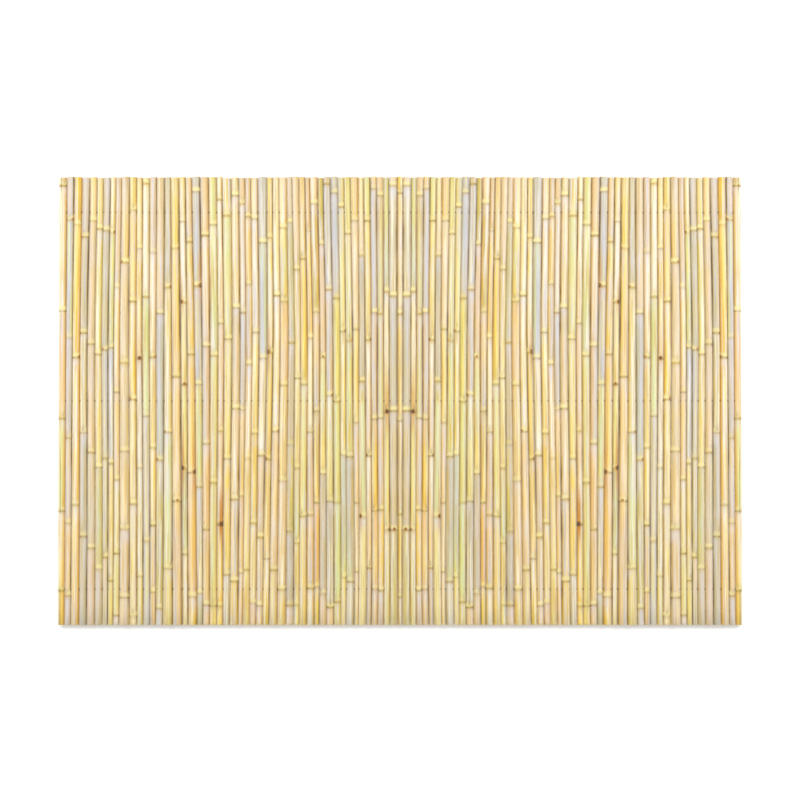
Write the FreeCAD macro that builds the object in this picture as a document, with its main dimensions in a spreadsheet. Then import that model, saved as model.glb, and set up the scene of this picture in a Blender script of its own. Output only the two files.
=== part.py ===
import FreeCAD, Part
import os

# Bamboo cane screen: canes side by side, threaded on three wires through drilled holes.
# The panel lies flat. X runs across the canes, Y along them, and Z is up.
os.makedirs("parts", exist_ok=True)
doc = FreeCAD.newDocument("bamboo_cane_screen")
sheet = doc.addObject("Spreadsheet::Sheet", "sizes")

# Sizes of the whole panel, in millimetres
PANEL_SIZES = {
    "panel_height": 1000,
    "wire_inset": 80,
    "wire_diameter": 2,
    "wire_play": 0.3,
    "wire_stop": 1,
    "drill_run_out": 5,
    "cane_gap": 0.2,
    "node_swell": 0.6,
    "node_fall": 5,
    "foot_margin": 15,
}

# Flats round each piece: few of them, because the panel holds so many canes
FLATS = {
    "culm_flats": 8,
    "hole_flats": 4,
    "wire_flats": 6,
}

# The canes from the middle of the panel outwards, in millimetres:
# width that the cane takes in the row at the top, the same at the foot, how much shorter
# it is than the panel, first node below the top, first internode, and the share of each
# internode that the next one down has.
MIDDLE_CANE = (13, 9, 0, 33, 270, 0.88)
CANES_OUTWARDS = [
    (18, 17, 1, 17, 246, 1.04),
    (12, 14, 2, 253, 269, 0.98),
    (15, 13, 1, 39, 264, 0.88),
    (14, 14, 0, 24, 276, 0.86),
    (15, 11, 1, 95, 266, 0.97),
    (12, 18, 2, 173, 280, 1.08),
    (17, 9, 1, 95, 242, 0.86),
    (14, 18, 1, 124, 239, 1.08),
    (14, 12, 2, 64, 278, 0.99),
    (16, 15, 0, 33, 235, 0.98),
    (16, 17, 1, 13, 236, 1.00),
    (12, 16, 3, 148, 252, 1.03),
    (18, 11, 1, 57, 241, 0.92),
    (10, 17, 2, 117, 239, 0.88),
    (14, 17, 1, 180, 280, 1.05),
    (15, 12, 0, 204, 242, 0.83),
    (12, 18, 1, 99, 268, 0.85),
    (17, 19, 2, 111, 164, 1.14),
    (14, 18, 1, 262, 303, 1.02),
    (13, 15, 2, 133, 256, 0.93),
    (20, 14, 1, 144, 258, 0.84),
    (16, 15, 3, 91, 253, 0.89),
    (13, 15, 2, 86, 151, 1.18),
    (14, 10, 3, 57, 243, 0.89),
    (17, 19, 2, 39, 250, 0.90),
    (20, 15, 4, 84, 275, 0.97),
    (13, 14, 0, 48, 276, 0.87),
    (18, 16, 1, 104, 292, 0.97),
    (19, 15, 1, 128, 247, 0.88),
    (19, 13, 0, 30, 211, 1.04),
    (14, 20, 2, 142, 251, 1.05),
    (15, 13, 1, 97, 180, 1.02),
    (18, 22, 2, 157, 286, 0.97),
    (14, 22, 1, 244, 323, 0.94),
    (18, 16, 2, 302, 327, 1.01),
    (16, 13, 1, 166, 234, 0.86),
    (16, 15, 3, 12, 253, 1.05),
    (13, 14, 2, 157, 246, 0.99),
    (16, 17, 1, 71, 204, 1.07),
    (18, 23, 0, 188, 224, 0.88),
    (13, 14, 2, 244, 233, 0.84),
    (12, 12, 1, 122, 256, 1.01),
    (16, 12, 2, 117, 266, 0.91),
    (14, 17, 3, 113, 280, 0.90),
    (16, 18, 1, 95, 275, 0.88),
    (17, 17, 2, 131, 214, 1.04),
    (17, 18, 1, 104, 296, 1.11),
    (16, 14, 0, 93, 263, 0.85),
    (18, 15, 2, 17, 279, 0.86),
]
CANE_SIZES = ("top", "foot", "short", "first_node", "internode", "growth")


def write_size(row, alias, value):
    """Writes one named value into the spreadsheet."""
    sheet.set("A%d" % row, alias)
    sheet.set("B%d" % row, str(value))
    sheet.setAlias("B%d" % row, alias)


def fill_sheet():
    """Puts every driving dimension into the spreadsheet."""
    values = dict(PANEL_SIZES)
    values.update(FLATS)
    for number, cane in enumerate([MIDDLE_CANE] + CANES_OUTWARDS):
        for size, value in zip(CANE_SIZES, cane):
            values["cane_%02d_%s" % (number, size)] = value
    for row, alias in enumerate(values, start=1):
        write_size(row, alias, values[alias])


fill_sheet()
doc.recompute()

# Expressions that several pieces share
HEIGHT = "sizes.panel_height"
WIRE_ROWS = {
    "wire_top": HEIGHT + " - sizes.wire_inset",
    "wire_middle": HEIGHT + " / 2",
    "wire_bottom": "sizes.wire_inset",
}

# A section stands across the cane, with a flat to each side and one underneath
ACROSS = FreeCAD.Rotation(FreeCAD.Vector(1, 0, 0), 90)
ALONG_ROW = FreeCAD.Rotation(FreeCAD.Vector(0, 1, 0), 90)


def half_turn_of_a_flat(flats):
    """Turns a regular section so that flats, and not corners, face the sides."""
    return FreeCAD.Rotation(FreeCAD.Vector(0, 0, 1), 180.0 / flats)


def from_middle(place):
    """Expression that turns a height above the foot into one from the panel's middle."""
    return "%s - %s / 2" % (place, HEIGHT)


def to_corners(size, flats_alias):
    """Expression for the corner radius of a section that is `size` from centre to flat."""
    return "(%s) / cos(180 deg / sizes.%s)" % (size, flats_alias)


def reach(number, place):
    """Expression for half a cane's thickness over its nodes, at a place along it."""
    cane = "sizes.cane_%02d_" % number
    width = "%sfoot + (%stop - %sfoot) * (%s) / %s" % (cane, cane, cane, place, HEIGHT)
    return "(%s - sizes.cane_gap) / 2" % width


def axis(number, place):
    """Expression for a cane's distance from the middle of the panel, at a place along it."""
    foot = "foot_%02d.Placement.Base.x / 1 mm" % number
    top = "top_%02d.Placement.Base.x / 1 mm" % number
    return "%s + (%s - %s) * (%s) / %s" % (foot, top, foot, place, HEIGHT)


def beside(end, number):
    """Expression for an end's distance from the middle: the next cane inwards, plus both halves."""
    if number == 0:
        return "0"
    inner = "%s_%02d.Placement.Base.x / 1 mm" % (end, number - 1)
    halves = "(sizes.cane_%02d_%s + sizes.cane_%02d_%s) / 2" % (number - 1, end, number, end)
    return "%s + %s" % (inner, halves)


def node_places(number):
    """Expressions for the heights of a cane's nodes, from the foot up."""
    cane = "cane_%02d_" % number
    height = sheet.get("panel_height")
    internode = sheet.get(cane + "internode")
    growth = sheet.get(cane + "growth")
    place = height - sheet.get(cane + "first_node")
    expression = "%s - sizes.%sfirst_node" % (HEIGHT, cane)
    places = []
    while place > sheet.get("foot_margin"):
        places.insert(0, expression)
        power = len(places) - 1
        place -= internode * growth ** power
        expression += " - sizes.%sinternode * sizes.%sgrowth ^ %d" % (cane, cane, power)
    return places


def widest_reach():
    """Expression for half the thickness of the thickest node, on which the panel rests."""
    numbers = range(len(CANES_OUTWARDS) + 1)
    nodes = [reach(number, place) for number in numbers for place in node_places(number)]
    return max(nodes, key=sheet.evalExpression)


def section(name, number, place, across, waist):
    """Adds one cross-section of a cane."""
    ring = doc.addObject("Part::RegularPolygon", name)
    flats = int(sheet.get("culm_flats"))
    ring.Placement.Rotation = ACROSS * half_turn_of_a_flat(flats)
    ring.setExpression("Polygon", "sizes.culm_flats")
    ring.setExpression("Placement.Base.x", across)
    ring.setExpression("Placement.Base.y", from_middle(place))
    ring.setExpression("Placement.Base.z", AXIS_HEIGHT)
    ring.setExpression("Circumradius", to_corners(reach(number, place) + " - " + waist, "culm_flats"))
    return ring


def culm(number):
    """One cane: a loft that swells to each node and falls back to its waist just above it."""
    mid_waist = "sizes.node_swell / 2"
    top_place = "%s - sizes.cane_%02d_short" % (HEIGHT, number)
    foot = section("foot_%02d" % number, number, "0", beside("foot", number), mid_waist)
    top = section("top_%02d" % number, number, top_place, beside("top", number), mid_waist)
    rings = [foot]
    for count, place in enumerate(node_places(number), start=1):
        above = place + " + sizes.node_fall"
        name = "%02d_%d" % (number, count)
        rings.append(section("node_" + name, number, place, axis(number, place), "0"))
        rings.append(section("above_" + name, number, above, axis(number, above), "sizes.node_swell"))
    rings.append(top)
    body = doc.addObject("Part::Loft", "culm_%02d" % number)
    body.Sections = rings
    body.Solid = True
    body.Ruled = True
    return body


def edge(place):
    """Expression for the outer side of the outermost cane, at a place along it."""
    return "(%s + %s)" % (axis(len(CANES_OUTWARDS), place), reach(len(CANES_OUTWARDS), place))


def rod(name, place, half_length, radius, flats_alias):
    """A straight rod along the row of canes, through their axes."""
    bar = doc.addObject("Part::Prism", name)
    flats = int(sheet.get(flats_alias))
    bar.Placement.Rotation = ALONG_ROW * half_turn_of_a_flat(flats)
    bar.setExpression("Polygon", "sizes." + flats_alias)
    bar.setExpression("Circumradius", radius)
    bar.setExpression("Height", "2 * (%s)" % half_length)
    bar.setExpression("Placement.Base.x", "-(%s)" % half_length)
    bar.setExpression("Placement.Base.y", from_middle(place))
    bar.setExpression("Placement.Base.z", AXIS_HEIGHT)
    return bar


def wire(name, place):
    """One threaded wire, cut off just inside the outermost canes."""
    bar = rod(name, place, edge(place) + " - sizes.wire_stop", "sizes.wire_diameter / 2", "wire_flats")
    bar.Label = name
    return bar


def drill():
    """The three holes through the whole row of canes."""
    hole = to_corners("sizes.wire_diameter / 2 + sizes.wire_play", "hole_flats")
    past_the_edge = "%s + sizes.drill_run_out"
    holes = doc.addObject("Part::Compound", "drilled_rows")
    holes.Links = [
        rod("hole_" + name, place, past_the_edge % edge(place), hole, "hole_flats")
        for name, place in WIRE_ROWS.items()
    ]
    return holes


def drilled(number, body, holes):
    """One cane with its three wire holes."""
    cane = doc.addObject("Part::Cut", "cane_%02d" % number)
    cane.Base = body
    cane.Tool = holes
    return cane


def pair(number, cane):
    """A cane and its twin in the other half of the panel."""
    twin = doc.addObject("Part::Mirroring", "twin_%02d" % number)
    twin.Source = cane
    twin.Normal = FreeCAD.Vector(1, 0, 0)
    both = doc.addObject("Part::Compound", "pair_%02d" % number)
    both.Links = [cane, twin]
    both.Label = "cane_pair_%02d" % number
    return both


AXIS_HEIGHT = widest_reach()
culms = [culm(number) for number in range(len(CANES_OUTWARDS) + 1)]
drilled_rows = drill()
canes = [drilled(number, body, drilled_rows) for number, body in enumerate(culms)]
canes[0].Label = "middle_cane"
pieces = [canes[0]]
pieces += [pair(number, cane) for number, cane in enumerate(canes[1:], start=1)]
pieces += [wire(name, place) for name, place in WIRE_ROWS.items()]
doc.recompute()

for item in doc.Objects:
    if "Invalid" in item.State or "Error" in item.State:
        raise RuntimeError("%s did not build" % item.Label)

for piece in pieces:
    if piece.Shape.isNull() or not piece.Shape.isValid():
        raise RuntimeError("%s has no valid shape" % piece.Label)
    piece.Shape.exportStep("parts/%s.step" % piece.Label)
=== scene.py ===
"""A bamboo cane screen: ninety-nine culms side by side, threaded on three galvanised wires."""
import math
import random

import bmesh
import bpy
from bpy.props import FloatProperty, FloatVectorProperty, PointerProperty
from mathutils import Matrix, Vector


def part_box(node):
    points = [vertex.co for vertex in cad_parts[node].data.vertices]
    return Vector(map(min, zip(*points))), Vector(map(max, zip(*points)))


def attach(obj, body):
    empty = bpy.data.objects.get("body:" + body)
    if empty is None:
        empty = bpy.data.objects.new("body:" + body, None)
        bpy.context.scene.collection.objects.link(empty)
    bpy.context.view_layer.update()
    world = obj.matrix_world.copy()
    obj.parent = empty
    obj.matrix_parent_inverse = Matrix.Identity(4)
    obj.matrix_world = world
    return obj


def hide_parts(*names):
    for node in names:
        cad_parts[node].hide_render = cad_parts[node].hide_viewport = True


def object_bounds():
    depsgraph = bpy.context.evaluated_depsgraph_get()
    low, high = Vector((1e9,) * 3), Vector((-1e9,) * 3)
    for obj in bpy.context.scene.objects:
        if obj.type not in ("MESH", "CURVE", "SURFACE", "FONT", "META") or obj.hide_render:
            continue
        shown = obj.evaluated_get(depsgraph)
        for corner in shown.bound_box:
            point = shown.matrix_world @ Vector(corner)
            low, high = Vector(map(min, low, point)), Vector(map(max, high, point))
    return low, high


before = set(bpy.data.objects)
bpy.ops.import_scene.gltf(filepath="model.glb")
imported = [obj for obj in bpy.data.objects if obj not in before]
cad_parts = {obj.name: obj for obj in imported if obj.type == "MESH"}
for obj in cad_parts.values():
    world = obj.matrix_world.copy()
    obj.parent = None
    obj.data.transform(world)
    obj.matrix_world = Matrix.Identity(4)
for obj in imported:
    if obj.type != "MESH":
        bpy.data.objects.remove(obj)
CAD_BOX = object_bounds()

bl_info = {
    "name": "Bamboo Cane Screen",
    "version": (1, 0, 0),
    "blender": (4, 5, 0),
    "location": "3D View > Sidebar > Cane Screen",
    "description": "Builds a screen of bamboo canes threaded on galvanised wires",
    "category": "Object",
}

MM = 0.001
PAIRS = 49
MIDDLE = "middle_cane"
WIRES = ("wire_top", "wire_middle", "wire_bottom")
WIRE_ROWS = [sum(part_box(wire)[side].y for side in (0, 1)) / 2 for wire in WIRES]
AXIS_HEIGHT = sum(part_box(MIDDLE)[side].z for side in (0, 1)) / 2

# A whole ring of a packed cane has this many corners. A node's widest ring has a narrower one
# above it: this far, give or take the match, and narrower by the swell.
RING_CORNERS = 8
NODE_FALL = 5 * MM
RING_MATCH = 0.3 * MM
NODE_SWELL = 0.6 * MM
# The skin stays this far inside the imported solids.
SKIN_GAP = 0.04 * MM
# Points nearer the axis than this share of the full reach belong to the lumen.
LUMEN_POINTS = 0.8

# The skin round a node, from below to above. Each row is a height from the widest ring, how far
# the skin lies inside the full reach there, and how much it shows of the brown scar line, the
# olive underside, partly painted shade below the crest, and the cream crest, a painted highlight.
NODE_PROFILE = (
    (-40.0, 0.22, 0.0, 0.0, 0.0),
    (-15.0, 0.42, 0.0, 0.0, 0.0),
    (-8.5, 0.66, 0.0, 0.2, 0.0),
    (-6.2, 0.40, 0.1, 0.5, 0.0),
    (-5.0, 0.09, 0.7, 0.9, 0.0),
    (-3.9, 0.06, 1.0, 1.0, 0.0),
    (-3.1, 0.55, 0.8, 1.0, 0.1),
    (-1.7, 0.42, 0.1, 0.9, 0.5),
    (0.2, 0.09, 0.0, 0.5, 1.0),
    (2.0, 0.05, 0.0, 0.2, 1.0),
    (3.8, 0.10, 0.0, 0.2, 1.0),
    (6.2, 0.42, 0.0, 0.3, 0.5),
    (9.5, 0.70, 0.0, 0.2, 0.0),
    (17.0, 0.42, 0.0, 0.0, 0.0),
    (40.0, 0.22, 0.0, 0.0, 0.0),
)
INSET, SCAR, BELLY, RIDGE = range(1, 5)

# Rings along a culm stand at most about this far apart, and never closer than this.
STATION_GAP = 45 * MM
CLOSEST_STATIONS = 0.55 * MM

# A lumen narrows to this share of itself before the diaphragm, which is dished and clear of the
# nearest node.
LUMEN_TAPER = 0.94
SHORTEST_LUMEN = 4 * MM
DIAPHRAGM_CLEARANCE = 5 * MM
DIAPHRAGM_DISH = 1.5 * MM
DISH_SHARE = 0.5

# A wire hole is opened in a patch of this many facets, has a thin worn lip, and its mouth lies
# a little inside the skin.
PATCH_FACETS = 1.05
PATCH_REACH = 1.45
HOLE_LIP = 0.2 * MM
MOUTH_SINK = 0.25 * MM

# A bud scar: how far above the node it stands, its size, and its dark rim as a share of that.
BUD_HEIGHT = 5.5 * MM
BUD_LENGTH = 4.2 * MM
BUD_WIDTH = 2.6 * MM
BUD_LIFT = 0.7 * MM
BUD_RIM = 0.7
BUD_RIM_FADE = 0.6
BUD_DARKNESS = 0.45

# The canes from the middle outwards: a shade for each internode from the top, then how warm
# and how strong the painted shade on the side towards the middle is, and how dark the painted
# shade in the crevice there, from 0 to 9.
CANE_SHADES = """
    cyyyo26 gsss37 ptttpt65 slthap86 gscpt57 sygs26 ppspps65 sggyy45 sshgs34 llgggs23
    tltsyp37 otsyt46 pophah88 tpcpps66 shss66 tcssss44 tyyoyt26 csphcs63 ccps63 hhhsh66
    llctpp25 ccshsp76 tppcss53 ttlppp64 spppph57 cgshy24 ccpthh77 ggssh35 tttppt95 lllgcy26
    tspah85 ccssys37 hppp67 ysgs34 tloy15 tcshpp54 scgll24 shccs57 sshssh65 pttptp44
    tppsst52 cglhs35 lylyt38 sgsoy34 stttt35 lyoyy27 hhhh93 llltpt46 tcpshh92
""".split()
MIDDLE_SHADES = "hppphp44"
SHADES = {"c": "cream", "s": "straw", "h": "honey", "p": "peach", "t": "tan", "l": "silver",
          "g": "green", "o": "olive", "y": "grey", "a": "apricot"}
# Two internodes' colours run into each other over this much beside their node.
TONE_BLEND = 16 * MM
# The bloom below a node: how far down its middle is, and where it starts to fade and ends.
BLOOM_DROP = 12 * MM
BLOOM_LENGTH = (4 * MM, 34 * MM)
# How much of the cool bloom a shade has left, where it has any.
COOLNESS = {"l": 1.0, "t": 0.45, "y": 0.5, "p": 0.2, "c": 0.2}
# Shades that may tinge any cane, and those that a cane of each shade may have its stripes in.
TINGES = "cshpgt"
STRIPES = {"c": "sphl", "s": "chgp", "h": "csoc", "p": "ctlh", "t": "plcg", "l": "gcts",
           "g": "clsh", "o": "shgc", "y": "lgtc", "a": "hpsc"}

# Stained nodes of the pairs: the node, counted from the top, then whether the stain faces the
# middle (i), the outer side (o) or the front (f), or the front and the middle (w), and how dark
# it is, from 0 to 9.
STAINED_NODES = {
    1: "3f5", 2: "1f8 2i6", 5: "1i5 2o4", 6: "2o7", 8: "1i2", 9: "1i4", 11: "2i5", 12: "1f3",
    19: "1i4", 20: "1o8 2o5", 27: "3w9", 30: "1i8", 31: "2i8", 32: "1o7 2f5 3o8", 33: "0i3 2f3",
    34: "0i4 1o3", 35: "1o3", 36: "1i3", 38: "1f7", 39: "2o4", 40: "0o3", 42: "0i4", 43: "1o3",
    47: "1i5", 48: "0i4",
}
STAIN_ANGLES = {"i": math.radians(142), "w": math.radians(118), "f": math.radians(95),
                "o": math.radians(38)}
# A stain is an oval below the node's widest ring: how long and how wide the faintest is each way
# from its middle, and how much the darkest gains on that.
STAIN_DROP = 1.5 * MM
STAIN_LENGTH = (1.7 * MM, 3.4 * MM)
STAIN_WIDTH = (1.4 * MM, 3.8 * MM)
# Sap has run from a stain along the cane: the middle of the run above the node, then where its
# length and its width start to fade and where they end.
SAP_RISE = 12 * MM
SAP_LENGTH = (25 * MM, 80 * MM)
SAP_WIDTH = (3 * MM, 7.5 * MM)
# The skin is dark round a wire hole from the edge to this reach, partly as a stain from drilling
# and partly as painted shade round the hole's mouth.
HOLE_EDGE = 1.2 * MM
HOLE_DARK_REACH = 3.4 * MM
# Nodes whose bud scar faces the front, counted in the same way.
FRONT_BUDS = {5: (2,), 8: (1,), 11: (4,)}

# The outermost canes are cracked open along these heights, in millimetres from the middle. A
# crack faces this angle from the outer side and runs out over this length. Its slit reaches this
# far to each side, and twice as far where it is open. Where it is closed, only a line this deep
# and this dark shows. Where it is open, the slit is painted fully dark as shade.
CRACKS = ((-500, -424), (-248, -138), (166, 186), (470, 500))
CRACK_ANGLE = math.radians(67)
CRACK_END = 9 * MM
CRACK_SLIT = 0.45 * MM
CRACK_LINE = 0.15 * MM
CRACK_DARKNESS = 0.25

# The whole screen sways a little sideways, a few canes together, in three waves: how far, over
# which width and over which height, in millimetres, and where the wave starts across and along,
# in radians. It fades over the margin beside the middle cane and the outermost canes' axes.
SWAYS = (
    (1.6, 190, 700, 3.36, 1.50444),
    (1.0, 120, 410, 2.1, 0.61948),
    (0.5, 260, 260, 1.05, 2.38940),
)
SWAY_MARGIN = 60 * MM
OUTER_AXIS = 10 * MM

# A wire weaves a little between the sides of its holes: two waves, in radians for each step
# along it, that die away over the last few steps.
WIRE_STEPS = 150
WIRE_CORNERS = 12
WIRE_SLACK = 0.2 * MM
WIRE_WAVES = (0.9, 0.23)
STEADY_STEPS = 4

# The floor's lift to white grows between these places beside the screen's outline.
LIFT_FADE = (-4 * MM, 20 * MM)
LIFT_BESIDE = 0.2
LIFT_AWAY = 0.5

# The stage, in metres: the right-hand softbox and how far to the side it aims, the fill lamp
# below the floor, the floor, and the camera, which stands a little towards the canes' tops.
SOFTBOX_WIDTH = 1.0
SOFTBOX_LENGTH = 2.2
SOFTBOX_PLACE = (2.1, 0.9, 2.1)
SOFTBOX_TARGET = 0.35
FILL_LENGTH = 1.6
FILL_DEPTH = 1.6
FLOOR_SIZE = 6
CAMERA_RISE = 1.7 * MM
FARTHEST_SEEN = 100


def linear(code):
    """A colour as linear light, from its sRGB hex value."""
    parts = [int(code[place:place + 2], 16) / 255 for place in (1, 3, 5)]
    return [c / 12.92 if c <= 0.04045 else ((c + 0.055) / 1.055) ** 2.4 for c in parts]


def colour_property(name, description, code):
    """A colour that a user can change."""
    return FloatVectorProperty(name=name, description=description, subtype="COLOR", size=3,
                               min=0, max=1, default=linear(code))


def length_property(name, description, millimetres):
    """A length that a user can change."""
    return FloatProperty(name=name, description=description, unit="LENGTH", min=0,
                         precision=4, default=millimetres * MM)


class CulmSizes(bpy.types.PropertyGroup):
    """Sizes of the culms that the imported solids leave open."""
    facet: length_property("Facet", "Width of one column of faces round a culm", 1.7)
    lumen_depth: length_property("Lumen depth", "How far a culm is open at its sawn ends", 26)
    lumen_share: FloatProperty(name="Lumen", description="Lumen's radius as a share of the culm's",
                               subtype="FACTOR", min=0.2, max=0.8, default=0.46)
    saw_chamfer: length_property("Saw chamfer", "Worn edge round a sawn end", 0.35)
    hole_radius: length_property("Hole radius", "Radius of a drilled wire hole", 1.25)
    hole_depth: length_property("Hole depth", "How deep a wire hole goes into the wall", 2.6)
    crack_depth: length_property("Crack depth", "Depth of the drying crack in the outer canes", 1.6)


class CulmColours(bpy.types.PropertyGroup):
    """Colours of dried bamboo."""
    cream: colour_property("Cream", "Palest skin", "#FAF2D6")
    straw: colour_property("Straw", "Common dried skin", "#F3E190")
    honey: colour_property("Honey", "Yellow skin", "#F9D75E")
    peach: colour_property("Peach", "Skin with a rosy cast", "#F6D599")
    apricot: colour_property("Apricot", "Skin that the sun has warmed", "#EFBB66")
    tan: colour_property("Tan", "Skin with a pinkish brown cast", "#E3C8A4")
    silver: colour_property("Silver", "Skin under a waxy bloom", "#C4C6C9")
    green: colour_property("Green", "Skin with a trace of green left", "#D9DF94")
    olive: colour_property("Olive", "Dull green yellow skin", "#C8B352")
    grey: colour_property("Grey", "Weathered skin", "#C4B896")
    # Painted shade in the crevice between two canes.
    flank_shade: colour_property("Flank", "Dust in the crevice between two canes", "#75541C")
    # Amber, with olive, colours the painted shade on each cane's side towards the middle.
    amber: colour_property("Amber", "Sun warmed sides", "#E2AA3A")
    # Painted highlight along the outer edge of each cane.
    edge_highlight: colour_property("Bleached", "Sun bleached edges", "#FFF4CE")
    bloom: colour_property("Bloom", "Waxy bloom", "#DDD9E0")
    # Painted highlight on a node's crest.
    ridge: colour_property("Node ridge", "Crest of a node", "#F3E5A0")
    # A node's olive, laid on below its crest partly as painted shade.
    belly: colour_property("Node underside", "Skin under a node's crest", "#C4A648")
    scar: colour_property("Sheath scar", "Line that the sheath left", "#7E5E24")
    sap: colour_property("Sap stain", "Skin round a dark stain", "#C6841E")
    # Also the dark round the wire holes' mouths and in the open crack, which is partly painted shade.
    stain: colour_property("Stain", "Dark stains and drilled edges", "#452A0A")
    pith: colour_property("Sawn wall", "End grain of the wall", "#D9BE85")
    hollow: colour_property("Hollow", "Inside of the lumen", "#B99A62")


class WireLook(bpy.types.PropertyGroup):
    """Size and colours of the wires."""
    diameter: length_property("Diameter", "Thickness of the wire", 2)
    zinc: colour_property("Zinc", "Galvanised surface", "#A9ABA8")
    dull: colour_property("Dull zinc", "Weathered patches", "#77766F")


class StageLook(bpy.types.PropertyGroup):
    """Floor, light and camera."""
    floor: colour_property("Floor", "Plain pale floor", "#ECECEC")
    camera_height: FloatProperty(name="Camera height", description="Camera above the floor",
                                 unit="LENGTH", min=2, default=9)
    view_width: FloatProperty(name="View width", description="Width that the picture takes in",
                              unit="LENGTH", min=0.5, default=1.785)
    lamp_watts: FloatProperty(name="Softbox power", description="Power of each softbox",
                              unit="POWER", min=0, default=52)
    fill_watts: FloatProperty(name="Fill power", description="Power of the lamp under the floor",
                              unit="POWER", min=0, default=15)
    sky: FloatProperty(name="Sky", description="Strength of the even light", min=0, default=0.44)


class CaneScreen(bpy.types.PropertyGroup):
    """Everything about the screen that a user can change."""
    culms: PointerProperty(type=CulmSizes)
    colours: PointerProperty(type=CulmColours)
    wires: PointerProperty(type=WireLook)
    stage: PointerProperty(type=StageLook)


class Culm:
    """Where a cane runs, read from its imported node. A pair is read from its right-hand cane."""

    def __init__(self, node):
        rows = {}
        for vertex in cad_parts[node].data.vertices:
            if vertex.co.x > 0 or node == MIDDLE:
                corner = (round(vertex.co.x, 6), round(vertex.co.z, 6))
                rows.setdefault(round(vertex.co.y, 4), set()).add(corner)
        rings = {}
        for height, corners in rows.items():
            if len(corners) >= RING_CORNERS:
                across = [corner[0] for corner in corners]
                rings[height] = (min(across), max(across))
        self.foot = min(rings)
        self.top = max(rings)
        self.nodes = sorted(height for height in rings if self.falls(rings, height))
        ends = [rings[height] for height in (self.foot, self.top)]
        self.middles = [(low + high) / 2 for low, high in ends]
        self.reaches = [(high - low + NODE_SWELL) / 2 - SKIN_GAP for low, high in ends]

    @staticmethod
    def falls(rings, height):
        """Whether the ring at this height is a node's widest one."""
        low, high = rings[height]
        for other, (left, right) in rings.items():
            above = abs(other - height - NODE_FALL) < RING_MATCH
            if above and (high - low) - (right - left) > NODE_SWELL:
                return True
        return False

    def along(self, ends, height):
        """A value between those of the foot and the top."""
        share = (height - self.foot) / (self.top - self.foot)
        return ends[0] + (ends[1] - ends[0]) * share

    def centre(self, height):
        """The culm's axis at this height."""
        across = self.along(self.middles, height)
        return Vector((across + sway(across, height), height, AXIS_HEIGHT))

    def from_node(self, height):
        """Height above the nearest node's widest ring, and negative below it."""
        return min((height - node for node in self.nodes), key=abs)

    def profile(self, height, column):
        """A column of the node's profile at this height."""
        offset = self.from_node(height) / MM
        value = NODE_PROFILE[0][column]
        for low, high in zip(NODE_PROFILE, NODE_PROFILE[1:]):
            if low[0] <= offset <= high[0]:
                share = (offset - low[0]) / (high[0] - low[0])
                value = low[column] + (high[column] - low[column]) * share
        return value

    def radius(self, height):
        """Radius of the skin: the full reach less what the node's profile takes off."""
        return self.along(self.reaches, height) - self.profile(height, INSET) * MM

    def columns(self, facet):
        """How many columns of faces, each about a facet wide, go round the culm."""
        return 2 * round(math.pi * max(self.reaches) / facet)


def sway(across, height):
    """How far the screen leans outwards at a place on its right-hand half."""
    lean = 0
    for size, width, rise, start_across, start_along in SWAYS:
        wave = math.sin(across / (width * MM) + start_across)
        lean += size * MM * wave * math.sin(height / (rise * MM) * math.pi + start_along)
    edge = min(across, CAD_BOX[1].x - OUTER_AXIS - across) / SWAY_MARGIN
    return lean * min(1, max(0, edge))


def stations(culm, patch):
    """Heights at which a culm gets a ring: its ends, nodes and wire holes, and some between."""
    fixed = [culm.foot, culm.top]
    for row in WIRE_ROWS:
        fixed += [row - HOLE_DARK_REACH, row - patch, row, row + patch, row + HOLE_DARK_REACH]
    wanted = [node + row[0] * MM for node in culm.nodes for row in NODE_PROFILE]
    steps = int((culm.top - culm.foot) / STATION_GAP)
    wanted += [culm.foot + (culm.top - culm.foot) * step / steps for step in range(1, steps)]
    kept = list(fixed)
    for height in wanted:
        clear = all(abs(height - other) > CLOSEST_STATIONS for other in kept)
        if clear and culm.foot < height < culm.top:
            kept.append(height)
    return sorted(kept)


def ring_on(bm, edges, centre, factor, shift):
    """Extrudes an open ring, scales the new one about its centre and shifts it."""
    out = bmesh.ops.extrude_edge_only(bm, edges=edges)["geom"]
    verts = [part for part in out if isinstance(part, bmesh.types.BMVert)]
    rim = set(verts)
    new_edges = [part for part in out if isinstance(part, bmesh.types.BMEdge)
                 and part.verts[0] in rim and part.verts[1] in rim]
    bmesh.ops.scale(bm, verts=verts, vec=(factor, 1, factor), space=Matrix.Translation(-centre))
    bmesh.ops.translate(bm, verts=verts, vec=shift)
    return new_edges


def sawn_end(bm, edges, culm, height, inward, sizes):
    """Closes a culm's end: a worn edge, the sawn wall, and the lumen down to a diaphragm."""
    centre = culm.centre(height)
    radius = culm.radius(height)
    before = set(bm.faces)
    chamfer = sizes.saw_chamfer
    first = centre - Vector((0, inward * chamfer, 0))
    edges = ring_on(bm, edges, first, 1 - chamfer / radius, Vector((0, -inward * chamfer, 0)))
    rim = list(edges)
    lumen = sizes.lumen_share * radius
    wall = ring_on(bm, edges, centre, lumen / (radius - chamfer), Vector())
    nearest = min(abs(node - height) for node in culm.nodes)
    depth = max(SHORTEST_LUMEN, min(sizes.lumen_depth, nearest - DIAPHRAGM_CLEARANCE))
    inner = ring_on(bm, wall, centre, LUMEN_TAPER, Vector((0, inward * depth, 0)))
    deepest = centre + Vector((0, inward * depth, 0))
    dish = ring_on(bm, inner, deepest, DISH_SHARE, Vector((0, inward * DIAPHRAGM_DISH, 0)))
    bmesh.ops.contextual_create(bm, geom=dish)
    for edge in rim + wall:
        edge.smooth = False
    for face in set(bm.faces) - before:
        face.material_index = 1


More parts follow.
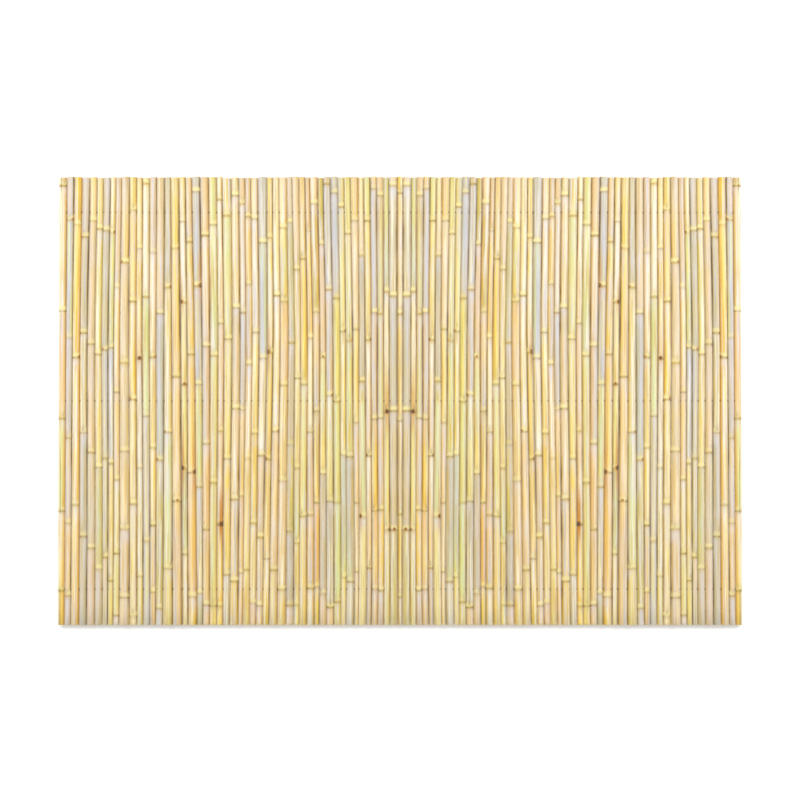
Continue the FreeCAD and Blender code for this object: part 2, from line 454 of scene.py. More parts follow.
def culm_shell(bm, culm, sizes, patch):
    """One culm, ring by ring from its foot to its top."""
    turn = Matrix.Rotation(math.pi / 2, 4, "X") @ Matrix.Rotation(math.pi / 2, 4, "Z")
    heights = stations(culm, patch)
    start = Matrix.Translation(culm.centre(culm.foot)) @ turn
    corners = culm.columns(sizes.facet)
    bmesh.ops.create_circle(bm, segments=corners, radius=culm.radius(culm.foot), matrix=start)
    first = list(bm.edges)
    last = first
    chamfer = sizes.saw_chamfer
    bmesh.ops.translate(bm, verts=bm.verts, vec=(0, chamfer, 0))
    for low, high in zip(heights, heights[1:]):
        shift = culm.centre(high) - culm.centre(low)
        if low == culm.foot:
            shift.y -= chamfer
        if high == culm.top:
            shift.y -= chamfer
        centre = culm.centre(low)
        last = ring_on(bm, last, centre, culm.radius(high) / culm.radius(low), shift)
    sawn_end(bm, first, culm, culm.foot, 1, sizes)
    sawn_end(bm, last, culm, culm.top, -1, sizes)


def drill(bm, culm, sizes, patch):
    """Opens a round hole at each wire, on both sides of the culm."""
    for row in WIRE_ROWS:
        for side in (-1, 1):
            radius = culm.radius(row)
            mouth = culm.centre(row) + Vector((side * radius, 0, 0))
            near = [face for face in bm.faces
                    if abs(face.calc_center_median().y - row) < patch
                    and (face.calc_center_median() - mouth).length < PATCH_REACH * patch]
            merged = bmesh.ops.dissolve_faces(bm, faces=near)["region"]
            rim = bmesh.ops.inset_individual(bm, faces=merged, thickness=HOLE_LIP)["faces"]
            hole = merged[0]
            for vert in hole.verts:
                out = vert.co - mouth
                flat = Vector((0, out.y, out.z)).normalized() * sizes.hole_radius
                vert.co = Vector((mouth.x - side * MOUTH_SINK, mouth.y + flat.y, mouth.z + flat.z))
            for edge in hole.edges:
                edge.smooth = False
            deep = bmesh.ops.extrude_discrete_faces(bm, faces=[hole])["faces"]
            bmesh.ops.translate(bm, verts=deep[0].verts, vec=(-side * sizes.hole_depth, 0, 0))
            for face in [*rim, *deep]:
                face.material_index = 1


def mix(first, second, share):
    """A colour between two."""
    return [a + (b - a) * share for a, b in zip(first, second)]


def fade(value, full, none):
    """1 up to full, 0 from none on, and a smooth step between."""
    share = min(1.0, max(0.0, (none - value) / (none - full)))
    return share * share * (3 - 2 * share)


def across_at(angle):
    """The direction across a culm at this angle from the screen's outer side."""
    return Vector((math.cos(angle), 0, math.sin(angle)))


def shade_colours(colours):
    """The shades by the letters of the cane table."""
    return {letter: list(getattr(colours, name)) for letter, name in SHADES.items()}


class CaneLook:
    """What one cane looks like: the colours of its internodes, its nodes, stains and buds."""

    def __init__(self, culm, number, shades, colours):
        draw = random.Random(number)
        self.culm = culm
        self.offset = Vector((draw.uniform(0, 9), draw.uniform(0, 9), draw.uniform(0, 9)))
        # How warm the side towards the middle is, and how strong its painted shade.
        self.warmth_and_shade = int(shades[-2]) / 9
        self.bounds = [culm.foot, *culm.nodes, culm.top]
        # How dark the painted shade in the crevice beside the cane is at each node.
        crevice = int(shades[-1]) / 9
        darks = [max(0, crevice + draw.uniform(-0.35, 0.35)) for _ in self.bounds]
        self.crevice_shades = [min(1, 1.15 * dark ** 1.6) for dark in darks]
        self.colour_internodes(draw, shades, colours)
        self.strengths = {
            node: (draw.uniform(0.1, 1), draw.uniform(0.3, 1), draw.uniform(0.15, 1))
            for node in culm.nodes}
        self.blooms = {node: draw.uniform(0, 1) for node in culm.nodes}
        self.holes = {(row, side): draw.uniform(0.15, 0.9) for row in WIRE_ROWS for side in (-1, 1)}
        from_top = sorted(culm.nodes, reverse=True)
        self.stains = []
        for place, side, strength in STAINED_NODES.get(number, "").split():
            facing = across_at(STAIN_ANGLES[side])
            self.stains.append((from_top[int(place)], facing, int(strength) / 9))
        self.place_buds(draw, from_top, FRONT_BUDS.get(number, ()))

    def colour_internodes(self, draw, shades, colours):
        """Each internode's tone, stripes and the colour of the painted shade on its side towards the
        middle, and how cool it looks, from the foot.
        """
        palette = shade_colours(colours)
        self.tones, self.stripes, self.sides, self.cools = [], [], [], []
        last = len(self.bounds) - 2
        for place in range(last + 1):
            letter = shades[last - place]
            tone = mix(palette[letter], palette[draw.choice(TINGES)], draw.uniform(0, 0.2))
            stripe = palette[draw.choice(STRIPES[letter])]
            self.tones.append(tone)
            self.stripes.append(mix(tone, stripe, draw.uniform(0.5, 0.9)))
            # The side colour, olive to amber and greyer on cool canes, is the colour of the painted
            # shade on the side towards the middle.
            warm = min(1, max(0, self.warmth_and_shade + draw.uniform(-0.2, 0.2)))
            cool = COOLNESS.get(letter, 0)
            side = mix(list(colours.olive), list(colours.amber), warm)
            self.sides.append(mix(side, list(colours.grey), 0.55 * cool))
            self.cools.append([cool])

    def place_buds(self, draw, from_top, in_front):
        """A bud scar at each node, in turn on either side of the culm."""
        self.buds = []
        side = draw.uniform(0, 2 * math.pi)
        for count, node in enumerate(from_top):
            angle = side + math.pi * (count % 2) + draw.uniform(-0.3, 0.3)
            size = draw.uniform(0.4, 0.9)
            if count in in_front:
                angle, size = math.pi / 2, 1.0
            self.buds.append((node + BUD_HEIGHT, across_at(angle), size))

    def colour(self, tones, height):
        """An internode's colour at this height, blended into its neighbour's across a node."""
        place = sum(1 for node in self.culm.nodes if node < height)
        tone = tones[place]
        above = height - self.bounds[place]
        below = self.bounds[place + 1] - height
        if place and above < TONE_BLEND:
            return mix(tones[place - 1], tone, 0.5 + above / TONE_BLEND / 2)
        if place < len(tones) - 1 and below < TONE_BLEND:
            return mix(tones[place + 1], tone, 0.5 + below / TONE_BLEND / 2)
        return tone

    def ring_values(self, height):
        """What is the same all round the culm at this height, by the attributes' names."""
        culm = self.culm
        node = min(culm.nodes, key=lambda other: abs(height - other))
        below = node - height
        bloom = fade(abs(below - BLOOM_DROP), *BLOOM_LENGTH) if below > 0 else 0
        names = ("scar_line", "olive_belly", "cream_ridge")
        masks = zip(names, (SCAR, BELLY, RIDGE), self.strengths[node])
        values = {name: culm.profile(height, column) * strength for name, column, strength in masks}
        values["bloom"] = bloom * self.blooms[node]
        values["valley"] = self.valley(height)
        values["cool"] = self.colour(self.cools, height)[0]
        tables = {"tone": self.tones, "stripe": self.stripes, "side": self.sides}
        colours = {name: self.colour(table, height) for name, table in tables.items()}
        return culm.centre(height), culm.along(culm.reaches, height), values, colours

    def valley(self, height):
        """How dark the painted shade in the crevice beside the cane is, eased from one node to the next.
        """
        place = sum(1 for node in self.culm.nodes if node < height)
        low, high = self.bounds[place:place + 2]
        share = fade(high - height, 0, high - low)
        return self.crevice_shades[place] + (self.crevice_shades[place + 1] - self.crevice_shades[place]) * share

    def hole_stain_and_shade(self, height, out):
        """How dark a point is from the edge of a drilled hole: partly a stain from drilling, partly
        painted shade round the hole's mouth.
        """
        dark = 0
        side = 1 if out.x > 0 else -1
        sideways = abs(out.normalized().x)
        for row in WIRE_ROWS:
            near = fade(abs(height - row), HOLE_EDGE, HOLE_DARK_REACH) * fade(1 - sideways, 0.05, 0.26)
            dark = max(dark, near * self.holes[row, side])
        return dark

    def node_stain(self, height, out):
        """How dark a point is from a stained node, and how much sap colours it."""
        dark = sap = 0
        for node, facing, strength in self.stains:
            apart = out.angle(facing) * out.length
            tall = STAIN_LENGTH[0] + STAIN_LENGTH[1] * strength ** 2
            wide = STAIN_WIDTH[0] + STAIN_WIDTH[1] * strength ** 2
            far = math.hypot((height - node + STAIN_DROP) / tall, apart / wide)
            dark = max(dark, (0.5 + 0.5 * strength) * fade(far, 0.7, 1.5))
            run = fade(abs(height - node - SAP_RISE), *SAP_LENGTH) * fade(apart, *SAP_WIDTH)
            sap = max(sap, 0.8 * fade(far, 1.0, 2.6), strength ** 4 * run)
        return dark, sap


def dress(bm, look):
    """Raises the buds and writes what the material reads from each point of the skin."""
    names = ("scar_line", "olive_belly", "cream_ridge", "bloom", "valley", "cool", "warm_side",
             "outward", "sap", "stain")
    layers = {name: bm.verts.layers.float.new(name) for name in names}
    for name in ("tone", "stripe", "side"):
        layers[name] = bm.verts.layers.float_color.new(name)
    layers["grain"] = bm.verts.layers.float_vector.new("grain")
    rings = {}
    for vert in bm.verts:
        height = vert.co.y
        if height not in rings:
            rings[height] = look.ring_values(height)
        centre, reach, values, colours = rings[height]
        out = vert.co - centre
        outward = out.x / reach
        dark, sap = look.node_stain(height, out)
        for name, value in values.items():
            vert[layers[name]] = value
        for name, colour in colours.items():
            vert[layers[name]] = (*colour, 1)
        vert[layers["grain"]] = out + Vector((0, height, 0)) + look.offset
        vert[layers["outward"]] = outward
        # Painted shade: the side towards the middle takes its side colour, most at the inner edge.
        vert[layers["warm_side"]] = (0.4 + 0.5 * look.warmth_and_shade) * fade(outward, -0.85, 0.0)
        vert[layers["sap"]] = sap
        # Node stains, and round the wire holes a dark that is partly painted shade.
        vert[layers["stain"]] = max(dark, look.hole_stain_and_shade(height, out))
    for height, direction, size in look.buds:
        raise_bud(bm, look.culm, layers["stain"], height, direction, size)


def raise_bud(bm, culm, stain_and_shade_layer, height, direction, size):
    """Lifts a small oval scar from the skin, within the full reach, and darkens its rim."""
    spot = culm.centre(height) + direction * culm.radius(height)
    for vert in bm.verts:
        away = vert.co - spot
        apart = math.hypot(away.y / BUD_LENGTH, math.hypot(away.x, away.z) / BUD_WIDTH)
        if apart < BUD_RIM + BUD_RIM_FADE:
            out = vert.co - culm.centre(vert.co.y)
            reach = culm.along(culm.reaches, vert.co.y)
            if out.length < LUMEN_POINTS * reach:
                continue
            raised = min(reach, out.length + BUD_LIFT * size * fade(apart, 0.2, 1.0))
            vert.co += out.normalized() * (raised - out.length)
            rim = fade(abs(apart - BUD_RIM), 0.15, BUD_RIM_FADE)
            vert[stain_and_shade_layer] = max(vert[stain_and_shade_layer], BUD_DARKNESS * size * rim)


def crack(bm, culm, sizes):
    """Opens a drying crack along the outermost cane: a column of points is pushed in and its
    neighbours close up to it. The column is darkened, faintly where the crack is closed and fully,
    as painted shade, where it is open."""
    stain_and_shade_layer = bm.verts.layers.float["stain"]
    column = 2 * math.pi / culm.columns(sizes.facet)
    facing = round(CRACK_ANGLE / column) * column
    for vert in bm.verts:
        height = vert.co.y
        out = vert.co - culm.centre(height)
        away = math.atan2(out.z, out.x) - facing
        reach = culm.along(culm.reaches, height)
        if abs(away) > 1.2 * column or out.length < LUMEN_POINTS * reach:
            continue
        beyond = min(max(low * MM - height, height - high * MM) for low, high in CRACKS)
        open_here = fade(beyond, 0, CRACK_END)
        if abs(away) < 0.3 * column:
            vert.co -= out.normalized() * (CRACK_LINE + sizes.crack_depth * open_here)
            # A faint dark line where the crack is closed, and painted shade, fully dark, in the open
            # slit.
            dark = CRACK_DARKNESS + (1 - CRACK_DARKNESS) * open_here
            vert[stain_and_shade_layer] = max(vert[stain_and_shade_layer], dark)
        else:
            gap = (CRACK_SLIT + CRACK_SLIT * open_here) / out.length
            turned = Matrix.Rotation(away - math.copysign(gap, away), 3, "Y") @ out
            vert.co += turned - out


def object_from(name, bm, materials):
    """An object in the scene made of this mesh."""
    mesh = bpy.data.meshes.new(name)
    bm.to_mesh(mesh)
    bm.free()
    for material in materials:
        mesh.materials.append(material)
    thing = bpy.data.objects.new(name, mesh)
    bpy.context.scene.collection.objects.link(thing)
    return thing


def culm_piece(node, number, shades, screen, materials):
    """One cane, or a cane and its mirrored twin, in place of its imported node."""
    culm = Culm(node)
    patch = screen.culms.facet * PATCH_FACETS
    bm = bmesh.new()
    culm_shell(bm, culm, screen.culms, patch)
    drill(bm, culm, screen.culms, patch)
    dress(bm, CaneLook(culm, number, shades, screen.colours))
    if number == PAIRS:
        crack(bm, culm, screen.culms)
    if node != MIDDLE:
        geometry = [*bm.verts, *bm.edges, *bm.faces]
        bmesh.ops.mirror(bm, geom=geometry, merge_dist=0, axis="X")
    bmesh.ops.recalc_face_normals(bm, faces=bm.faces)
    for face in bm.faces:
        face.smooth = True
    piece = object_from(node.replace("cane", "culm"), bm, materials)
    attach(piece, "root")
    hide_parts(node)


def add(tree, kind, inputs=None, **settings):
    """Adds a node with its settings, its values and the links into it."""
    node = tree.nodes.new(kind)
    for name, value in settings.items():
        setattr(node, name, value)
    for name, value in (inputs or {}).items():
        if isinstance(value, bpy.types.NodeSocket):
            tree.links.new(value, node.inputs[name])
        else:
            node.inputs[name].default_value = value
    return node


def new_material(name):
    """An empty node material and its tree."""
    material = bpy.data.materials.new(name)
    material.use_nodes = True
    material.node_tree.nodes.clear()
    return material, material.node_tree


def read(tree, name, output="Fac"):
    """An attribute of the piece."""
    return add(tree, "ShaderNodeAttribute", attribute_name=name).outputs[output]


def mixed(tree, share, first, second, kind="MIX"):
    """A colour mixed from two."""
    node = add(tree, "ShaderNodeMix", {0: share, 6: first, 7: second}, data_type="RGBA", blend_type=kind)
    return node.outputs[2]


def ramped(tree, value, low, high, start=0.0, end=1.0):
    """A value moved from one range to another and held inside it."""
    inputs = {"Value": value, "From Min": low, "From Max": high, "To Min": start, "To Max": end}
    return add(tree, "ShaderNodeMapRange", inputs).outputs["Result"]


def times(tree, first, second):
    """Two values multiplied."""
    return add(tree, "ShaderNodeMath", {0: first, 1: second}, operation="MULTIPLY").outputs[0]


def streaks(tree, grain, width, length, detail=2.0, shift=0.0):
    """Noise drawn out along the culm: width and length of a streak, in millimetres."""
    scale = (1 / (width * MM), 1 / (length * MM), 1 / (width * MM))
    stretched = add(tree, "ShaderNodeVectorMath", {0: grain, 1: scale, 2: (shift, shift, shift)},
                    operation="MULTIPLY_ADD").outputs[0]
    return add(tree, "ShaderNodeTexNoise", {"Vector": stretched, "Scale": 1.0, "Detail": detail,
                                            "Roughness": 0.55}).outputs["Fac"]


def opaque(colour):
    """A colour with full alpha."""
    return (*colour, 1)


def skin_streaks(tree):
    """The patterns that run along a culm, by name."""
    grain = read(tree, "grain", "Vector")
    # A stripe is as wide as a strip of skin between two bundles of fibres looks, and runs the
    # length of an internode. Real fibres are about 0.3 mm apart. They are drawn 1.4 mm apart,
    # as fine as shows.
    return {
        "broad": streaks(tree, grain, 5.0, 260, 1),
        "middle": streaks(tree, grain, 3.6, 200, 1, 11.3),
        "narrow": streaks(tree, grain, 2.8, 170, 1, 53.1),
        "fibre": streaks(tree, grain, 1.4, 60, 3, 23.9),
        "blotch": streaks(tree, grain, 9, 26, 3, 37.7),
        "weather": streaks(tree, grain, 30, 90, 2, 71.9),
        "speck": streaks(tree, grain, 2.2, 5, 2, 5.3),
    }


def striped_skin(tree, runs, colours):
    """An internode's two shades in stripes, weathered yellower here and whiter there, with painted
    light on the side towards the screen's edge: paler in streaks, with a painted highlight along
    the edge."""
    tone = read(tree, "tone", "Color")
    cool = read(tree, "cool")
    outward = read(tree, "outward")
    weather, middle, bloom = runs["weather"], runs["middle"], opaque(colours.bloom)
    colour = mixed(tree, ramped(tree, runs["broad"], 0.48, 0.54), tone, read(tree, "stripe", "Color"))
    warmed = times(tree, ramped(tree, weather, 0.52, 0.66, 0, 0.35), ramped(tree, cool, 0, 1, 1, 0.2))
    colour = mixed(tree, warmed, colour, opaque(colours.honey))
    colour = mixed(tree, ramped(tree, weather, 0.46, 0.34, 0, 0.28), colour, bloom)
    # Painted light: the half towards the screen's edge is lightened in streaks towards cream, and
    # towards bloom on cool canes.
    pale = times(tree, ramped(tree, outward, 0.0, 0.6), ramped(tree, middle, 0.4, 0.55, 0.1, 0.6))
    colour = mixed(tree, pale, colour, mixed(tree, cool, opaque(colours.cream), bloom))
    # Painted highlight: the outer edge is lightened towards near white.
    edge = ramped(tree, outward, 0.7, 0.95, 0, 0.45)
    colour = mixed(tree, edge, colour, opaque(colours.edge_highlight))
    return mixed(tree, ramped(tree, middle, 0.44, 0.38, 0, 0.55), colour, bloom)


def warm_side(tree, runs, colours, colour):
    """The side towards the screen's middle: narrow streaks of its olive to amber side colour, painted
    shade in that colour on the side turned from the light, and darker painted shade down in the
    crevice.
    """
    side = read(tree, "side", "Color")
    narrow = runs["narrow"]
    colour = mixed(tree, ramped(tree, narrow, 0.45, 0.39, 0, 0.6), colour, side)
    # Painted shade on the side towards the middle, in its olive to amber, broken by narrow streaks.
    warm = times(tree, read(tree, "warm_side"), ramped(tree, narrow, 0.35, 0.6, 0.6, 1))
    colour = mixed(tree, warm, colour, side)
    # Painted shade down in the crevice between two canes, uneven along the cane.
    inner = ramped(tree, read(tree, "outward"), -0.5, -0.85)
    crevice_shade_mask = times(tree, inner, ramped(tree, runs["weather"], 0.4, 0.6, 0.45, 1))
    return mixed(tree, times(tree, crevice_shade_mask, read(tree, "valley")), colour, opaque(colours.flank_shade))


def node_marks(tree, runs, colours, colour):
    """A node's olive underside, partly painted shade below its crest, its cream crest as a painted
    highlight, and the brown line of the sheath scar, painted darker towards the sides as shade
    where the node meets its neighbours.
    """
    # Painted shade under the crest, in the node's olive.
    belly = times(tree, read(tree, "olive_belly"), 0.85)
    colour = mixed(tree, belly, colour, opaque(colours.belly))
    # Painted highlight on the crest.
    ridge = times(tree, read(tree, "cream_ridge"), 0.85)
    colour = mixed(tree, ridge, colour, opaque(colours.ridge))
    width = add(tree, "ShaderNodeMath", {0: read(tree, "outward")}, operation="ABSOLUTE").outputs[0]
    # The sheath scar's line is painted darker towards both sides, as shade where the node meets its
    # neighbours.
    ear_shade = ramped(tree, width, 0.35, 0.85, 0.35, 1)
    worn = times(tree, ear_shade, ramped(tree, runs["blotch"], 0.3, 0.6, 0.6, 1))
    return mixed(tree, times(tree, read(tree, "scar_line"), worn), colour, opaque(colours.scar))


def sap_stains_and_shade(tree, runs, colours, colour):
    """Amber sap that has run along the fibres, and dark stains in the middle of it. The same dark
    marks the rims of bud scars and, as painted shade, the mouths of the wire holes and the open
    crack.
    """
    sap = times(tree, read(tree, "sap"), ramped(tree, runs["middle"], 0.35, 0.6, 0.6, 1))
    colour = mixed(tree, sap, colour, opaque(colours.sap))
    stain = times(tree, read(tree, "stain"), ramped(tree, runs["speck"], 0.3, 0.5, 0.4, 1))
    return mixed(tree, stain, colour, opaque(colours.stain))


def dried_bamboo_skin(colours):
    """Dried bamboo, peeled and left unvarnished. Its skin is hard and waxy, so it has a soft
    gloss over pale streaks that run with the fibres, a whitish bloom below each node and a
    brown line where the sheath sat. Light and shade are also painted into its colour: a painted
    highlight on the outer side and edge, a cream painted highlight on each node's crest, and
    painted shade on the side towards the middle, in the crevices, under each node's crest and at
    the sides of its line."""
    material, tree = new_material("dried_bamboo_skin")
    runs = skin_streaks(tree)
    fibre = runs["fibre"]
    colour = striped_skin(tree, runs, colours)
    colour = warm_side(tree, runs, colours, colour)
    bloom = times(tree, read(tree, "bloom"), ramped(tree, runs["blotch"], 0.35, 0.65, 0.1, 0.6))
    colour = mixed(tree, bloom, colour, opaque(colours.bloom))
    light = ramped(tree, fibre, 0.3, 0.7, 0.88, 1.08)
    shade = add(tree, "ShaderNodeCombineColor", {0: light, 1: light, 2: light}).outputs[0]
    colour = mixed(tree, 1.0, colour, shade, "MULTIPLY")
    colour = node_marks(tree, runs, colours, colour)
    colour = sap_stains_and_shade(tree, runs, colours, colour)
    rough = ramped(tree, fibre, 0.3, 0.7, 0.42, 0.6)
    bump = add(tree, "ShaderNodeBump", {"Height": fibre, "Strength": 0.35, "Distance": 0.25 * MM})
    shader = add(tree, "ShaderNodeBsdfPrincipled", {
        "Base Color": colour, "Roughness": rough, "IOR": 1.5, "Normal": bump.outputs[0]})
    add(tree, "ShaderNodeOutputMaterial", {"Surface": shader.outputs[0]})
    return material


def sawn_bamboo(colours):
    """Bamboo sawn across. The wall is dry end grain, dotted with dark fibre bundles and clouded
    browner here and there."""
    material, tree = new_material("sawn_bamboo")
    place = add(tree, "ShaderNodeTexCoord").outputs["Object"]
    # Bundles are about 0.5 mm apart in the real wall. They are drawn 1.1 mm apart to show.
    dots = add(tree, "ShaderNodeTexVoronoi", {"Vector": place, "Scale": 1 / (1.1 * MM)})
    cloud = add(tree, "ShaderNodeTexNoise", {"Vector": place, "Scale": 1 / (5 * MM), "Detail": 2.0})
    dotted = ramped(tree, dots.outputs["Distance"], 0.15, 0.45, 0.7, 0)
    colour = mixed(tree, dotted, opaque(colours.pith), opaque(colours.hollow))
    colour = mixed(tree, ramped(tree, cloud.outputs["Fac"], 0.45, 0.75, 0, 0.5), colour,
                   opaque(colours.hollow))
    bump = add(tree, "ShaderNodeBump", {"Height": dots.outputs["Distance"], "Strength": 0.4,
                                        "Distance": 0.2 * MM})
    shader = add(tree, "ShaderNodeBsdfPrincipled", {
        "Base Color": colour, "Roughness": 0.85, "IOR": 1.5, "Normal": bump.outputs[0]})
    add(tree, "ShaderNodeOutputMaterial", {"Surface": shader.outputs[0]})
    return material


def galvanised_wire(look):
    """Steel wire, hot dipped in zinc. It is a dull grey metal with cloudy spangle and
    duller weathered patches."""
    material, tree = new_material("galvanised_wire")
    place = add(tree, "ShaderNodeTexCoord").outputs["Object"]
    # Spangle on wire is under 1 mm across. It is drawn 3 mm across so that it shows.
    cells = add(tree, "ShaderNodeTexVoronoi", {"Vector": place, "Scale": 1 / (3 * MM)})
    cloud = add(tree, "ShaderNodeTexNoise", {"Vector": place, "Scale": 1 / (14 * MM), "Detail": 3.0})
    dull = ramped(tree, cloud.outputs["Fac"], 0.4, 0.7)
    colour = mixed(tree, dull, opaque(look.zinc), opaque(look.dull))
    rough = ramped(tree, cells.outputs["Distance"], 0, 1, 0.35, 0.6)
    bump = add(tree, "ShaderNodeBump", {"Height": cloud.outputs["Fac"], "Strength": 0.3,
                                        "Distance": 0.1 * MM})
    shader = add(tree, "ShaderNodeBsdfPrincipled", {
        "Base Color": colour, "Metallic": 1.0, "Roughness": rough, "Normal": bump.outputs[0]})
    add(tree, "ShaderNodeOutputMaterial", {"Surface": shader.outputs[0]})
    return material


def seen_or_mirrored(tree):
    """1 for what the camera sees straight, in a mirroring surface or through a clear one."""
    path = add(tree, "ShaderNodeLightPath").outputs
    either = add(tree, "ShaderNodeMath", {0: path["Is Camera Ray"], 1: path["Is Glossy Ray"]},
                 operation="MAXIMUM").outputs[0]
    return add(tree, "ShaderNodeMath", {0: either, 1: path["Is Transmission Ray"]},
               operation="MAXIMUM").outputs[0]


def matt_floor(look, half_width, half_height):
    """Matt white paint on board. It is lit by the lamps and takes the screen's shadow, and
    the camera also sees it lifted to white outside the screen's outline. It is clear to a
    camera and a lamp below it, so that the underside can be seen."""
    material, tree = new_material("matt_floor")
    board = add(tree, "ShaderNodeBsdfDiffuse", {"Color": opaque(look.floor)})
    glow = add(tree, "ShaderNodeEmission", {"Color": (1, 1, 1, 1)})
    place = add(tree, "ShaderNodeTexCoord").outputs["Object"]
    axes = add(tree, "ShaderNodeSeparateXYZ", {0: place})
    sides = []
    for axis, half in (("X", half_width), ("Y", half_height)):
        away = add(tree, "ShaderNodeMath", {0: axes.outputs[axis]}, operation="ABSOLUTE").outputs[0]
        near, far = (half + edge for edge in LIFT_FADE)
        sides.append(ramped(tree, away, near, far, LIFT_BESIDE, LIFT_AWAY))
    outside = add(tree, "ShaderNodeMath", {0: sides[0], 1: sides[1]}, operation="MAXIMUM").outputs[0]
    lift = times(tree, outside, seen_or_mirrored(tree))
    tree.links.new(lift, glow.inputs["Strength"])
    both = add(tree, "ShaderNodeAddShader", {0: board.outputs[0], 1: glow.outputs[0]})
    clear = add(tree, "ShaderNodeBsdfTransparent")
    under = add(tree, "ShaderNodeNewGeometry").outputs["Backfacing"]
    shadow = add(tree, "ShaderNodeLightPath").outputs["Is Shadow Ray"]
    open_way = add(tree, "ShaderNodeMath", {0: under, 1: shadow}, operation="MAXIMUM").outputs[0]
    surface = add(tree, "ShaderNodeMixShader", {0: open_way, 1: both.outputs[0], 2: clear.outputs[0]})
    add(tree, "ShaderNodeOutputMaterial", {"Surface": surface.outputs[0]})
    return material


def wire_bend(place):
    """How far a wire lies to one side of its holes' middle, so many steps along."""
    ends = min(place, WIRE_STEPS - place) / STEADY_STEPS
    first, second = (math.sin(place * wave) for wave in WIRE_WAVES)
    return WIRE_SLACK * first * second * min(1, ends)


def wire_piece(wire, look, material):
    """One wire, drawn out ring by ring through its holes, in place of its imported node."""
    low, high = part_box(wire)
    bm = bmesh.new()
    turn = Matrix.Rotation(math.pi / 2, 4, "Y")
    start = Matrix.Translation((low.x, (low.y + high.y) / 2, (low.z + high.z) / 2)) @ turn
    bmesh.ops.create_circle(bm, segments=WIRE_CORNERS, radius=look.diameter / 2, matrix=start)
    first = list(bm.edges)
    last = first
    step = (high.x - low.x) / WIRE_STEPS
    for place in range(WIRE_STEPS):
        bend = wire_bend(place + 1) - wire_bend(place)
        last = ring_on(bm, last, Vector(), 1, Vector((step, bend, 0)))
    bmesh.ops.contextual_create(bm, geom=first)
    bmesh.ops.contextual_create(bm, geom=last)
    bmesh.ops.recalc_face_normals(bm, faces=bm.faces)
    for face in bm.faces:
        face.smooth = len(face.verts) == 4
    piece = object_from("galvanised_" + wire, bm, [material])
    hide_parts(wire)
    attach(piece, "root")


class SCREEN_OT_culms(bpy.types.Operator):
    """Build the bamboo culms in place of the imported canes"""
    bl_idname = "screen.culms"
    bl_label = "Bamboo culms"

    def execute(self, context):
        screen = context.scene.cane_screen
        materials = [dried_bamboo_skin(screen.colours), sawn_bamboo(screen.colours)]
        culm_piece(MIDDLE, 0, MIDDLE_SHADES, screen, materials)
        for number in range(1, PAIRS + 1):
            shades = CANE_SHADES[number - 1]
            culm_piece(f"cane_pair_{number:02d}", number, shades, screen, materials)
        return {"FINISHED"}


class SCREEN_OT_wires(bpy.types.Operator):
    """Build the three wires that thread the culms"""
    bl_idname = "screen.wires"
    bl_label = "Galvanised wires"

    def execute(self, context):
        look = context.scene.cane_screen.wires
        material = galvanised_wire(look)
        for wire in WIRES:
            wire_piece(wire, look, material)
        return {"FINISHED"}


def lay_floor(look):
    """A plain pale floor that the screen lies on."""
    half = CAD_BOX[1]
    bm = bmesh.new()
    bmesh.ops.create_grid(bm, x_segments=1, y_segments=1, size=FLOOR_SIZE)
    floor = object_from("floor", bm, [matt_floor(look, half.x, half.y)])


def softbox(place, target, length, watts):
    """A wide soft lamp that the camera doesn't see."""
    lamp = bpy.data.lights.new("softbox", "AREA")
    lamp.shape = "RECTANGLE"
    lamp.size = SOFTBOX_WIDTH
    lamp.size_y = length
    lamp.energy = watts
    box = bpy.data.objects.new("softbox", lamp)
    box.location = place
    box.rotation_euler = (target - place).to_track_quat("-Z", "Y").to_euler()
    box.visible_camera = False
    bpy.context.scene.collection.objects.link(box)


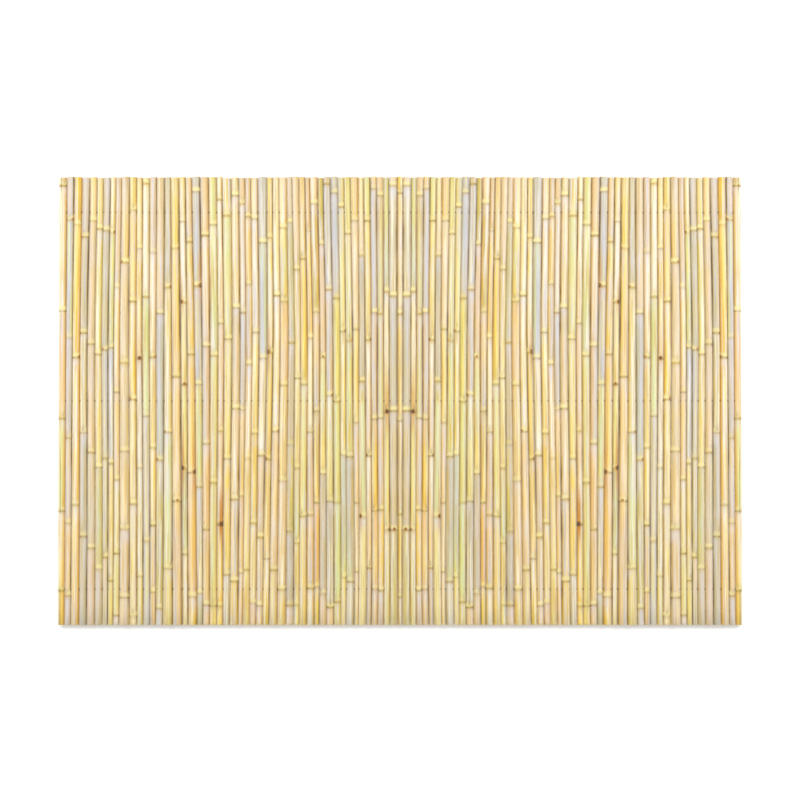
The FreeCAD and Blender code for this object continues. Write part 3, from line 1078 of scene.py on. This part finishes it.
def light_studio(look):
    """Two softboxes, a fill lamp from below and an even white surround."""
    x, y, z = SOFTBOX_PLACE
    for side in (-1, 1):
        target = Vector((side * SOFTBOX_TARGET, 0, 0))
        softbox(Vector((side * x, y, z)), target, SOFTBOX_LENGTH, look.lamp_watts)
    softbox(Vector((0, 0, -FILL_DEPTH)), Vector(), FILL_LENGTH, look.fill_watts)
    world = bpy.data.worlds.new("studio")
    bpy.context.scene.world = world
    world.use_nodes = True
    tree = world.node_tree
    tree.nodes.clear()
    even = add(tree, "ShaderNodeBackground", {"Color": (1, 1, 1, 1), "Strength": look.sky})
    white = add(tree, "ShaderNodeBackground", {"Color": (1, 1, 1, 1), "Strength": 1.0})
    both = add(tree, "ShaderNodeMixShader", {
        0: seen_or_mirrored(tree), 1: even.outputs[0], 2: white.outputs[0]})
    add(tree, "ShaderNodeOutputWorld", {"Surface": both.outputs[0]})


def stand_camera(look):
    """The camera looks straight down at the screen and takes in a set width at its axis."""
    low, high = CAD_BOX
    data = bpy.data.cameras.new("camera")
    camera = bpy.data.objects.new("camera", data)
    camera.location = (0, CAMERA_RISE, look.camera_height)
    distance = look.camera_height - (high.z + low.z) / 2
    data.lens = data.sensor_width * distance / look.view_width
    data.clip_end = FARTHEST_SEEN
    bpy.context.scene.collection.objects.link(camera)
    bpy.context.scene.camera = camera


class SCREEN_OT_stage(bpy.types.Operator):
    """Lay the floor and set up the light and the camera"""
    bl_idname = "screen.stage"
    bl_label = "Stage"

    def execute(self, context):
        look = context.scene.cane_screen.stage
        lay_floor(look)
        light_studio(look)
        stand_camera(look)
        context.scene.view_settings.view_transform = "Standard"
        return {"FINISHED"}


class SCREEN_PT_sidebar(bpy.types.Panel):
    """Panel of the cane screen"""
    bl_idname = "SCREEN_PT_sidebar"
    bl_label = "Cane Screen"
    bl_space_type = "VIEW_3D"
    bl_region_type = "UI"
    bl_category = "Cane Screen"

    def draw(self, context):
        layout = self.layout
        screen = context.scene.cane_screen
        for operator in OPERATORS:
            layout.operator(operator.bl_idname)
        for group in (screen.culms, screen.colours, screen.wires, screen.stage):
            box = layout.box()
            for name in group.__annotations__:
                box.prop(group, name)


GROUPS = (CulmSizes, CulmColours, WireLook, StageLook, CaneScreen)
OPERATORS = (SCREEN_OT_culms, SCREEN_OT_wires, SCREEN_OT_stage)


def register():
    for kind in (*GROUPS, *OPERATORS, SCREEN_PT_sidebar):
        bpy.utils.register_class(kind)
    bpy.types.Scene.cane_screen = PointerProperty(type=CaneScreen)


def unregister():
    del bpy.types.Scene.cane_screen
    for kind in reversed((*GROUPS, *OPERATORS, SCREEN_PT_sidebar)):
        bpy.utils.unregister_class(kind)


def main():
    register()
    bpy.ops.screen.culms()
    bpy.ops.screen.wires()
    bpy.ops.screen.stage()


if __name__ == "__main__":
    main()
